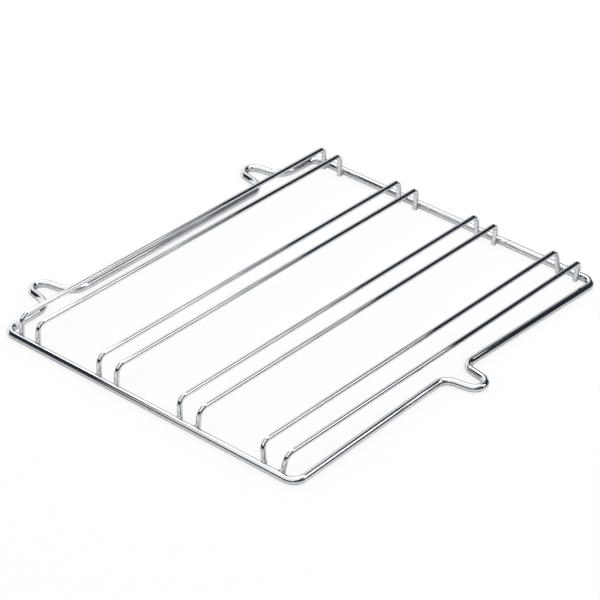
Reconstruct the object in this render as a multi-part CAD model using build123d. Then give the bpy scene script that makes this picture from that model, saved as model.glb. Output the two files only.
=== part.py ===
from build123d import *
import os
from math import cos, radians, sin, tan

# An oven side rack of welded wire: one thick wire bent to a frame, and thinner rails across it in pairs.
# A shelf's edge slides between the two rails of a pair, and the frame's loops slip over studs in the wall.
# The rack lies flat: X runs across the rails, Y along them, and +Z is up.
# While it is drawn, x is measured from the left bar, y from the front bar and z from the frame wire's centre.
# Lengths are in mm, angles in degrees.

# Wire sizes
FRAME_WIRE = 6.0
RAIL_WIRE = 4.0

# Frame wire, between wire centres
FRAME_WIDTH = 275.0
FRAME_LENGTH = 352.0
CORNER_RADIUS = 9.0

# Loops in the side bars: where the middle of each one is
FRONT_LEFT_LOOP_INSET = 59.0  # from the front bar
REAR_LEFT_LOOP_INSET = 53.0  # from the rear bar
RIGHT_LOOP_OFFSET = 5.5  # behind the middle of the right bar

# Loops' sizes, measured outwards from the straight line between the frame's corners
LEFT_LOOP_REACH = 28.5  # to the wire's centre at the loop's end
RIGHT_LOOP_REACH = 22.0
LEFT_LOOP_END_FOOT = 1.6  # to the foot nearer the bar's end, where bending the loop has drawn the bar out
LEFT_LOOP_INNER_FOOT = 0.5
RIGHT_LOOP_FOOT = -4.0  # both feet of this loop are drawn in
LEFT_LOOP_ROOT_RADIUS = 16.0
RIGHT_LOOP_ROOT_RADIUS = 10.0
LOOP_END_RADIUS = 8.5
LOOP_FLANK_LEAN = 10.0  # each flank leans in this much towards the loop's end

# Rails
FIRST_RAIL_MARGIN = 3.0  # from the left corner's bend to the first rail's foot
LAST_RAIL_MARGIN = 5.8  # from the last rail's foot to the right corner's bend
PAIR_GAP = 16.5  # between the feet of a pair
PAIR_LEANS = (0.0, 2.5, 5.0, 10.0)  # how far each pair's rails lean apart, from left to right
RAIL_RISE = 15.9  # along a leg, from the frame wire's centre to the rail's centre
RAIL_BEND_RADIUS = 6.2

# Welds between legs and bars
WELD_SET_DOWN = 0.4  # how deep a leg is pressed into its bar
WELD_SPREAD = 0.5  # how far the weld swells past the leg's side
LEG_FLOOR_GAP = 0.3  # from a leg's cut end to the underside of the frame wire


def round_wire(path, diameter):
    section = Plane(origin=path @ 0, z_dir=path % 0) * Circle(diameter / 2)
    return sweep(section, path=path)


def loop_corners(bar_x, outward, place, reach, feet):
    # The flanks lean together and would meet at a tip, which the end bend rounds off.
    front_foot, rear_foot = feet
    lean = radians(LOOP_FLANK_LEAN)
    tip = reach + LOOP_END_RADIUS / sin(lean) - LOOP_END_RADIUS
    front = (bar_x + outward * front_foot, place - (tip - front_foot) * tan(lean))
    rear = (bar_x + outward * rear_foot, place + (tip - rear_foot) * tan(lean))
    return [front, (bar_x + outward * tip, place), rear]


def make_frame_wire():
    # Round the frame against the clock, seen from above, from its front left corner.
    right_place = FRAME_LENGTH / 2 + RIGHT_LOOP_OFFSET
    rear_place = FRAME_LENGTH - REAR_LEFT_LOOP_INSET
    front_feet = (LEFT_LOOP_END_FOOT, LEFT_LOOP_INNER_FOOT)
    rear_feet = (LEFT_LOOP_INNER_FOOT, LEFT_LOOP_END_FOOT)
    right_feet = (RIGHT_LOOP_FOOT, RIGHT_LOOP_FOOT)
    right_loop = loop_corners(FRAME_WIDTH, 1, right_place, RIGHT_LOOP_REACH, right_feet)
    rear_left_loop = loop_corners(0, -1, rear_place, LEFT_LOOP_REACH, rear_feet)
    front_left_loop = loop_corners(0, -1, FRONT_LEFT_LOOP_INSET, LEFT_LOOP_REACH, front_feet)
    corner_bends = [CORNER_RADIUS, CORNER_RADIUS]
    right_bends = [RIGHT_LOOP_ROOT_RADIUS, LOOP_END_RADIUS, RIGHT_LOOP_ROOT_RADIUS]
    left_bends = [LEFT_LOOP_ROOT_RADIUS, LOOP_END_RADIUS, LEFT_LOOP_ROOT_RADIUS]
    corners = [(0, 0), (FRAME_WIDTH, 0), *right_loop, (FRAME_WIDTH, FRAME_LENGTH), (0, FRAME_LENGTH)]
    corners += [*reversed(rear_left_loop), *reversed(front_left_loop)]
    bends = corner_bends + right_bends + corner_bends + left_bends + left_bends
    return round_wire(FilletPolyline(*corners, radius=bends, close=True), FRAME_WIRE)


def make_rail(frame_wire, foot_x, lean):
    # A staple in the YZ plane, tipped about the line through its two feet.
    leg_inset = (FRAME_WIRE + RAIL_WIRE) / 2 - WELD_SET_DOWN
    front, rear = leg_inset, FRAME_LENGTH - leg_inset
    tip_angle = radians(abs(lean))
    tail = (FRAME_WIRE / 2 - LEG_FLOOR_GAP - RAIL_WIRE / 2 * sin(tip_angle)) / cos(tip_angle)
    corners = [(0, front, -tail), (0, front, RAIL_RISE), (0, rear, RAIL_RISE), (0, rear, -tail)]
    rail = round_wire(FilletPolyline(*corners, radius=RAIL_BEND_RADIUS), RAIL_WIRE)
    weld_inset = (FRAME_WIRE - WELD_SET_DOWN) / 2
    for weld_y in (weld_inset, FRAME_LENGTH - weld_inset):
        rail += Pos(0, weld_y, 0) * Sphere(RAIL_WIRE / 2 + WELD_SPREAD)
    return Pos(foot_x, 0, 0) * Rot(0, lean, 0) * rail - frame_wire


def rail_feet():
    # The outer rails stand at the frame's corners, and the pairs are spaced evenly between them.
    first_foot = CORNER_RADIUS + FIRST_RAIL_MARGIN
    last_foot = FRAME_WIDTH - CORNER_RADIUS - LAST_RAIL_MARGIN
    pitch = (last_foot - PAIR_GAP - first_foot) / (len(PAIR_LEANS) - 1)
    feet = []
    for pair, lean in enumerate(PAIR_LEANS):
        left_foot = first_foot + pair * pitch
        feet += [(left_foot, -lean), (left_foot + PAIR_GAP, lean)]
    return feet


def to_resting_place():
    # Moves the rack so that its origin is on the floor, below the middle of its outline.
    middle = (FRAME_WIDTH + RIGHT_LOOP_REACH - LEFT_LOOP_REACH) / 2
    return Pos(-middle, -FRAME_LENGTH / 2, FRAME_WIRE / 2)


frame_wire = make_frame_wire()
parts = {"frame_wire": frame_wire}
for number, (foot_x, lean) in enumerate(rail_feet(), start=1):
    parts[f"rail_{number}"] = make_rail(frame_wire, foot_x, lean)

os.makedirs("parts", exist_ok=True)
for name, part in parts.items():
    export_step(to_resting_place() * part, f"parts/{name}.step")
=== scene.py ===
from math import cos, pi, radians, sin

import bpy
from mathutils import Matrix, Vector


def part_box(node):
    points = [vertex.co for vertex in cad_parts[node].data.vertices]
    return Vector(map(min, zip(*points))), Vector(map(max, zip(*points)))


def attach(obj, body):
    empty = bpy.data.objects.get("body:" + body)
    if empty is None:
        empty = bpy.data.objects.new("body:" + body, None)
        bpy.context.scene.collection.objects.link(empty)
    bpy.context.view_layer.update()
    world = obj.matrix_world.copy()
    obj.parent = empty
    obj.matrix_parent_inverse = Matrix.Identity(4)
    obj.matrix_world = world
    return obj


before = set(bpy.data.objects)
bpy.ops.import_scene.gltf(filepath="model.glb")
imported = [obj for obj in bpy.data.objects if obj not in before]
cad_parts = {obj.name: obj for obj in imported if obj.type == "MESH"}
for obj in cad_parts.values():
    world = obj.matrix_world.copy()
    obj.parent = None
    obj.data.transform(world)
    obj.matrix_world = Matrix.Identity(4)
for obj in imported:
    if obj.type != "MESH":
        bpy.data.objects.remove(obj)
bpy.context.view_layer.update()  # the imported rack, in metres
mm = 0.001
railNames = sorted(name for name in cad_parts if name.startswith("rail_"))
print("loaded the frame wire and", len(railNames), "rails")


# shader sockets
class Socket:  # sums written on a socket add Math nodes
    def __init__(self, tree, socket=None):
        self.tree = tree
        self.socket = socket

    def make(self, kind, settings=None, values=None, out=0):  # any node: settings first, then its sockets
        node = self.tree.nodes.new(kind)
        for name, setting in (settings or {}).items():
            setattr(node, name, setting)
        for name, value in (values or {}).items():
            if isinstance(value, Socket):
                self.tree.links.new(value.socket, node.inputs[name])
            else:
                node.inputs[name].default_value = value
        return Socket(self.tree, node.outputs[out] if node.outputs else None)

    def pick(self, kind, values, names):  # several outputs of one node
        node = self.make(kind, None, values).socket.node
        return [Socket(self.tree, node.outputs[name]) for name in names]

    def maths(self, operation, *values):
        return self.make("ShaderNodeMath", {"operation": operation}, dict(enumerate(values)))

    def __add__(self, other):
        return self.maths("ADD", self, other)

    def __radd__(self, other):
        return self.maths("ADD", other, self)

    def __sub__(self, other):
        return self.maths("SUBTRACT", self, other)

    def __rsub__(self, other):
        return self.maths("SUBTRACT", other, self)

    def __mul__(self, other):
        return self.maths("MULTIPLY", self, other)

    def __rmul__(self, other):
        return self.maths("MULTIPLY", other, self)

    def __abs__(self):
        return self.maths("ABSOLUTE", self)

    def least(self, other):
        return self.maths("MINIMUM", self, other)

    def most(self, other):
        return self.maths("MAXIMUM", self, other)

    def fade(self, low, high):  # 0 at low and 1 at high, smooth between
        ends = {"Value": self, "From Min": low, "From Max": high}
        return self.make("ShaderNodeMapRange", {"interpolation_type": "SMOOTHSTEP"}, ends)

    def blend(self, first, second):  # two colours, mixed by this value
        return self.make("ShaderNodeMix", {"data_type": "RGBA"}, {0: self, 6: first, 7: second}, 2)

    def noise(self, scale, detail):  # at this place
        return self.make("ShaderNodeTexNoise", None, {"Vector": self, "Scale": scale, "Detail": detail})

    def glow(self, tint, strength):
        return self.make("ShaderNodeEmission", None, {"Color": tint, "Strength": strength})


def newMaterial(name):
    material = bpy.data.materials.new(name)
    material.use_nodes = True
    material.node_tree.nodes.clear()
    return material, Socket(material.node_tree)


def cover(start, surface):
    start.make("ShaderNodeOutputMaterial", None, {"Surface": surface})


def colour(red, green, blue):
    return (red, green, blue, 1.0)


white = colour(1.0, 1.0, 1.0)

# places of the welds, read from the rack
wire = {"frameRadius": 3.0 * mm, "setDown": 0.4 * mm, "footTop": 2.0 * mm}
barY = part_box("frame_wire")[1].y - wire["frameRadius"]  # the rear bar's centre; the front bar's is at -barY
barZ = wire["frameRadius"]
weldY = barY - wire["frameRadius"] + wire["setDown"] / 2


def footOf(name):
    low = [v.co.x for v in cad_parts[name].data.vertices if v.co.z < wire["footTop"]]
    return (min(low) + max(low)) / 2


footX = [footOf(name) for name in railNames]
print("feet at", [round(x / mm, 1) for x in footX], "mm")

# chrome
chrome = {
    "tint": colour(0.82, 0.84, 0.855),
    "cloud": colour(0.77, 0.795, 0.82),  # thinner plate, a little darker
    "cloudNoise": (45.0, 3.0),  # scale and detail
    "cloudEdge": (0.45, 0.7),
    "roughness": 0.03,
    "cloudRoughness": 0.03,  # these two are added to the plain plate's
    "weldRoughness": 0.2,
    "heat": colour(0.42, 0.36, 0.27),  # the brown bloom round a weld
    "heatShare": 0.5,
    "heatEdge": (1.2 * mm, 3.6 * mm),
    "heatRagged": 3.0 * mm,
    "peelNoise": (900.0, 2.0),  # fine unevenness of the plate
    "peelHeight": 0.6,
    "weldPeelHeight": 2.0,
    "drawNoise": (2600.0, 1.0),  # lines left from drawing the wire
    "drawStretch": 0.012,
    "drawHeight": 0.4,
    "bump": 0.012,
    "bumpDepth": 0.2 * mm,
}


def chromeMaterial(name, along, weldDistance):
    material, start = newMaterial(name)
    place = start.make("ShaderNodeTexCoord", out="Object")
    stretched = start.make("ShaderNodeMapping", None, {"Vector": place, "Scale": along})
    patch = place.noise(*chrome["cloudNoise"]).fade(*chrome["cloudEdge"])
    peel = place.noise(*chrome["peelNoise"])
    lines = stretched.noise(*chrome["drawNoise"])
    ragged = weldDistance(place) + (peel - 0.5) * chrome["heatRagged"]
    weld = 1.0 - ragged.fade(*chrome["heatEdge"])
    plate = patch.blend(chrome["tint"], chrome["cloud"])
    skin = (weld * chrome["heatShare"]).blend(plate, chrome["heat"])
    roughness = chrome["roughness"] + patch * chrome["cloudRoughness"] + weld * chrome["weldRoughness"]
    height = peel * chrome["peelHeight"] + lines * chrome["drawHeight"]
    height = height + weld * peel * chrome["weldPeelHeight"]
    depth = {"Height": height, "Strength": chrome["bump"], "Distance": chrome["bumpDepth"]}
    bumps = start.make("ShaderNodeBump", None, depth)
    values = {"Base Color": skin, "Roughness": roughness, "Metallic": 1.0, "Normal": bumps}
    cover(start, start.make("ShaderNodeBsdfPrincipled", None, values))
    return material


def railWeldDistance(place):
    y, z = place.pick("ShaderNodeSeparateXYZ", {"Vector": place}, "YZ")
    return abs(abs(y) - weldY).most(abs(z - barZ))


def frameWeldDistance(place):
    x, y = place.pick("ShaderNodeSeparateXYZ", {"Vector": place}, "XY")
    nearest = abs(x - footX[0])
    for foot in footX[1:]:
        nearest = nearest.least(abs(x - foot))
    return nearest.most(abs(abs(y) - weldY))


railChrome = chromeMaterial("railChrome", (1.0, chrome["drawStretch"], 1.0), railWeldDistance)
frameChrome = chromeMaterial("frameChrome", (1.0, 1.0, 1.0), frameWeldDistance)
flashChrome = chromeMaterial("flashChrome", (1.0, 1.0, 1.0), frameWeldDistance)
for name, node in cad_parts.items():
    node.material_slots[0].material = railChrome if name in railNames else frameChrome
print("plated", len(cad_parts), "wires")


# welds
def weldRing(look):  # a lumpy ring of metal, made at the origin
    bpy.ops.object.select_all(action="DESELECT")
    sizes = {"major_radius": look["ring"], "minor_radius": look["bead"], "rotation": look["turn"]}
    bpy.ops.mesh.primitive_torus_add(major_segments=look["around"], minor_segments=look["across"], **sizes)
    piece = bpy.context.object
    bpy.ops.object.transform_apply(location=True, rotation=True, scale=True)
    bpy.ops.object.mode_set(mode="EDIT")
    bpy.ops.mesh.select_all(action="SELECT")
    bpy.ops.transform.resize(value=look["stretch"])
    bpy.ops.transform.vertex_random(**look["lumps"])
    bpy.ops.mesh.vertices_smooth(factor=look["smoothing"], repeat=1)
    bpy.ops.mesh.subdivide(number_cuts=1, smoothness=1.0)
    bpy.ops.mesh.normals_make_consistent(inside=False)
    bpy.ops.object.mode_set(mode="OBJECT")
    bpy.ops.object.shade_smooth()
    return piece


def dress(piece, name, material):
    piece.name = name
    piece.data.name = name
    piece.data.materials.append(material)
    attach(piece, "root")


flash = {  # squeezed out round each leg's foot
    "ring": 2.05 * mm,
    "bead": 0.62 * mm,
    "around": 20,
    "across": 8,
    "turn": (pi / 2, 0, 0),
    "stretch": (1.0, 0.8, 1.12),
    "lumps": {"offset": 0.3 * mm, "uniform": 0.8, "normal": 0.6, "seed": 7},
    "smoothing": 0.5,
    "spin": 67.0,  # degrees from one foot to the next, so that no two look alike
    "endSpin": 31.0,
}


def addFlashes():
    pattern = weldRing(flash)
    for number, foot in enumerate(footX, start=1):
        for end, side in (("front", -1), ("rear", 1)):
            piece = pattern.copy()
            piece.data = pattern.data.copy()
            bpy.context.collection.objects.link(piece)
            spin = Matrix.Rotation(radians(number * flash["spin"] + side * flash["endSpin"]), 4, "Y")
            piece.data.transform(Matrix.Translation((foot, side * weldY, barZ)) @ spin)
            dress(piece, "weldFlash_%d_%s" % (number, end), flashChrome)
    bpy.data.objects.remove(pattern)


butt = {  # where the frame wire's two ends meet in the rear bar
    "place": (59.2 * mm, barY, barZ),
    "ring": 2.35 * mm,
    "bead": 0.86 * mm,
    "around": 28,
    "across": 10,
    "turn": (0, pi / 2, 0),
    "stretch": (1.9, 1.0, 1.0),
    "lumps": {"offset": 0.1 * mm, "uniform": 0.7, "normal": 0.7, "seed": 3},
    "smoothing": 0.0,
}


def addButtWeld():
    piece = weldRing(butt)
    piece.data.transform(Matrix.Translation(butt["place"]))
    dress(piece, "buttWeld", frameChrome)


addFlashes()
addButtWeld()
print("added the weld flashes and the butt weld")


# stage
def lightPath(start):  # what the camera sees straight, and what it sees in the chrome
    names = ("Is Camera Ray", "Is Glossy Ray", "Is Transmission Ray")
    direct, glossy, through = start.pick("ShaderNodeLightPath", None, names)
    return direct, glossy.most(through)


def card(name, centre, size, facing, material):  # a flat card; size is across and up
    bpy.ops.object.select_all(action="DESELECT")
    bpy.ops.mesh.primitive_plane_add(size=1.0)
    piece = bpy.context.object
    piece.name = name
    turn = Vector(facing).to_track_quat("Z", "Y").to_matrix().to_4x4()
    piece.data.transform(Matrix.Translation(centre) @ turn @ Matrix.Diagonal((size[0], size[1], 1.0, 1.0)))
    piece.data.materials.append(material)
    return piece


floor = {
    "size": (30.0, 30.0),
    "drop": 0.15 * mm,  # clears the weld flashes
    "paper": colour(0.93, 0.93, 0.93),
    "glow": 0.85,  # share of plain white where the camera sees the paper; the rest takes the shadow
    # the paper is painted darker (0.8 against 0.93) where the chrome reflects it: a painted dimmer reflection
    # of the floor
    "dimmedPaperInChrome": colour(0.8, 0.8, 0.8),
    "glossInChrome": {"Roughness": 0.12, "IOR": 2.2},
}


def floorMaterial():
    material, start = newMaterial("whitePaper")
    direct, mirrored = lightPath(start)
    matt = {"Base Color": floor["paper"], "Roughness": 1.0, "Specular IOR Level": 0.0}
    # rays from the chrome get the darker paper colour and a gloss: the floor's reflection in the chrome is
    # painted dimmer
    glossy = {"Base Color": floor["dimmedPaperInChrome"], **floor["glossInChrome"]}
    mattPaper = start.make("ShaderNodeBsdfPrincipled", None, matt)
    glossyPaper = start.make("ShaderNodeBsdfPrincipled", None, glossy)
    paper = start.make("ShaderNodeMixShader", None, {0: mirrored, 1: mattPaper, 2: glossyPaper})
    shares = {0: direct * floor["glow"], 1: paper, 2: start.glow(white, 1.0)}
    cover(start, start.make("ShaderNodeMixShader", None, shares))
    return material


card("floor", (0, 0, -floor["drop"]), floor["size"], (0, 0, 1), floorMaterial())

# colours of the dark reflections painted into the chrome: the flags glow with them and are seen nowhere else
darkReflectionLook = {
    "black": colour(0.021, 0.024, 0.028),
    "navy": colour(0.038, 0.062, 0.115),
    "foldNoise": (1.6, 2.0),
    "foldEdge": (0.45, 0.72),
}


def darkReflectionMaterial():
    material, start = newMaterial("darkClothReflection")
    place = start.make("ShaderNodeTexCoord", out="Object")
    folds = place.noise(*darkReflectionLook["foldNoise"]).fade(*darkReflectionLook["foldEdge"])
    # a dark glow that no light falls on, a painted dark reflection; its black-to-navy mottling stands for the
    # folds' light and shade
    cover(start, start.glow(folds.blend(darkReflectionLook["black"], darkReflectionLook["navy"]), 1.0))
    return material


def highlightPanelMaterial(name, strength):
    material, start = newMaterial(name)
    # a white glow, no lamp, seen only in the chrome: a painted highlight
    cover(start, start.glow(white, strength))
    return material


flagReflection = darkReflectionMaterial()


def onlyInChrome(piece):
    piece.visible_camera = False
    piece.visible_diffuse = False
    piece.visible_shadow = False


def roundFlag(name, centre, inner, outer, facing, cuts):  # a ring of dark cloth seen only in the chrome, a painted dark reflection, cut along straight lines
    bpy.ops.object.select_all(action="DESELECT")
    bpy.ops.mesh.primitive_circle_add(vertices=128, radius=outer, fill_type="NGON")
    ring = bpy.context.object
    ring.name = name
    bpy.ops.object.mode_set(mode="EDIT")
    bpy.ops.mesh.select_all(action="SELECT")
    bpy.ops.mesh.inset(thickness=outer - inner)
    bpy.ops.mesh.delete(type="FACE")
    bpy.ops.object.mode_set(mode="OBJECT")
    turn = Vector(facing).to_track_quat("Z", "Y").to_matrix().to_4x4()
    ring.data.transform(Matrix.Translation(centre) @ turn)
    bpy.ops.object.mode_set(mode="EDIT")
    for point, away in cuts:  # what lies on the away side of each cut goes
        bpy.ops.mesh.select_all(action="SELECT")
        bpy.ops.mesh.bisect(plane_co=point, plane_no=away, clear_outer=True)
    bpy.ops.object.mode_set(mode="OBJECT")
    ring.data.materials.append(flagReflection)
    onlyInChrome(ring)


# dark rings seen only in the chrome: painted dark reflections
rings = {
    "rearFlag": {
        "centre": (-0.1, 1.4, 0.0),
        "inner": 0.3,
        "outer": 1.72,
        "facing": (0, -1, 0),
        "cuts": [((0, 0, -0.02), (0, 0, -1)), ((-0.68, 0, 0), (-1, 0, 0)), ((0, 0, 1.66), (0.371, 0, 0.928))],
    },
    "leftFlag": {
        "centre": (-4.0, -0.176, 0.0),
        "inner": 2.0,
        "outer": 5.73,
        "facing": (1, 0, 0),
        "cuts": [((0, 0, -0.02), (0, 0, -1)), ((0, 0.45, 0), (0, 1, 0))],
    },
}
strips = {  # dark cards seen only in the chrome, painted dark reflections: centre, size, facing
    "rearPost": ((0.1, 1.41, 2.0), (1.15, 1.0), (0, -1, 0)),
    "rearSkirt": ((1.95, 1.41, 0.47), (1.5, 0.94), (0, -1, 0)),
    "rearLeftSkirt": ((-1.1, 1.4, 0.22), (1.2, 0.44), (0, -1, 0)),
    # these two lie flat on the floor: dark patches of floor painted into its reflection in the chrome
    "rearGround": ((0.75, 0.84, 0.3 * mm), (3.5, 1.12), (0, 0, 1)),
    "rightGround": ((1.36, 0.06, 0.3 * mm), (2.3, 0.32), (0, 0, 1)),
    "rightFlag": ((3.0, -0.7, 1.4), (4.6, 2.8), (-1, 0, 0)),
    "leftSkirt": ((-4.0, -7.2, 1.0), (3.6, 2.0), (1, 0, 0)),
    "leftPost": ((-1.5, -1.1, 1.85), (1.0, 0.7), (1, 0, 0)),
    "leftStep": ((-1.5, -1.62, 1.2), (0.56, 0.8), (1, 0, 0)),
    "topFlag": ((0.7, 0.25, 1.0), (0.5, 0.6), (0, 0, -1)),
    "frontSkirt": ((0.8, -3.0, 0.75), (6.8, 1.5), (0, 1, 0)),
    "barFlag": ((0.2, 0.21, 0.064), (0.24, 0.1), (-1, 0, 0)),
}
panels = {  # glowing cards seen only in the chrome, painted highlights: centre, size, facing, strength
    "rearPanel": ((1.85, 1.7, 2.0), (4.3, 4.0), (0, -1, 0), 1.55),
    "barPanel": ((0.512, 0.57, 0.51), (0.1, 0.664), (0, -0.851, 0.525), 1.15),
    "greyPanel": ((-0.8, 1.7, 2.0), (1.0, 4.0), (0, -1, 0), 0.85),
}
for name, ring in rings.items():
    roundFlag(name, **ring)
for name, (centre, size, facing) in strips.items():
    onlyInChrome(card(name, centre, size, facing, flagReflection))
for name, (centre, size, facing, strength) in panels.items():
    onlyInChrome(card(name, centre, size, facing, highlightPanelMaterial(name, strength)))
print("set up the floor,", len(rings) + len(strips), "flags and", len(panels), "panels")

# light
softbox = {"place": (-0.45, 0.725, 1.7), "width": 2.2, "depth": 0.85, "power": 10.0}
skyLook = {"white": 1.0, "fill": 0.9}  # as it is seen, and as it lights the paper


def addLight():
    bpy.ops.object.light_add(type="AREA", location=softbox["place"])
    lamp = bpy.context.object
    lamp.name = "softbox"
    lamp.data.shape = "RECTANGLE"
    lamp.data.size = softbox["width"]
    lamp.data.size_y = softbox["depth"]
    lamp.data.energy = softbox["power"]


def addSky():
    world = bpy.data.worlds.new("studio")
    bpy.context.scene.world = world
    world.use_nodes = True
    world.node_tree.nodes.clear()
    start = Socket(world.node_tree)
    direct, mirrored = lightPath(start)
    strength = direct.most(mirrored) * (skyLook["white"] - skyLook["fill"]) + skyLook["fill"]
    sky = start.make("ShaderNodeBackground", None, {"Color": white, "Strength": strength})
    start.make("ShaderNodeOutputWorld", None, {"Surface": sky})


addLight()
addSky()

# camera
shot = {
    "azimuth": 38.70,
    "elevation": 32.37,
    "roll": 2.53,
    "aim": (-0.0056, 0.0031, 0.0032),
    "distance": 2.075,
    "lens": 167.43,
    "sensor": 36.0,
    "near": 0.05,
    "far": 50.0,
}


def addCamera():
    az, el, roll = (radians(shot[name]) for name in ("azimuth", "elevation", "roll"))
    back = Vector((sin(az) * cos(el), -cos(az) * cos(el), sin(el)))
    level = Vector((cos(az), sin(az), 0.0))
    right = Matrix.Rotation(roll, 3, back) @ level
    up = back.cross(right)
    bpy.ops.object.camera_add()
    camera = bpy.context.object
    camera.name = "photoCamera"
    camera.data.sensor_width = shot["sensor"]
    camera.data.lens = shot["lens"]
    camera.data.clip_start = shot["near"]
    camera.data.clip_end = shot["far"]
    turn = Matrix((right, up, back)).transposed().to_4x4()
    camera.matrix_world = Matrix.Translation(Vector(shot["aim"]) + back * shot["distance"]) @ turn
    bpy.context.scene.camera = camera


addCamera()
bpy.context.scene.view_settings.view_transform = "Standard"
print("set up the light and the camera")
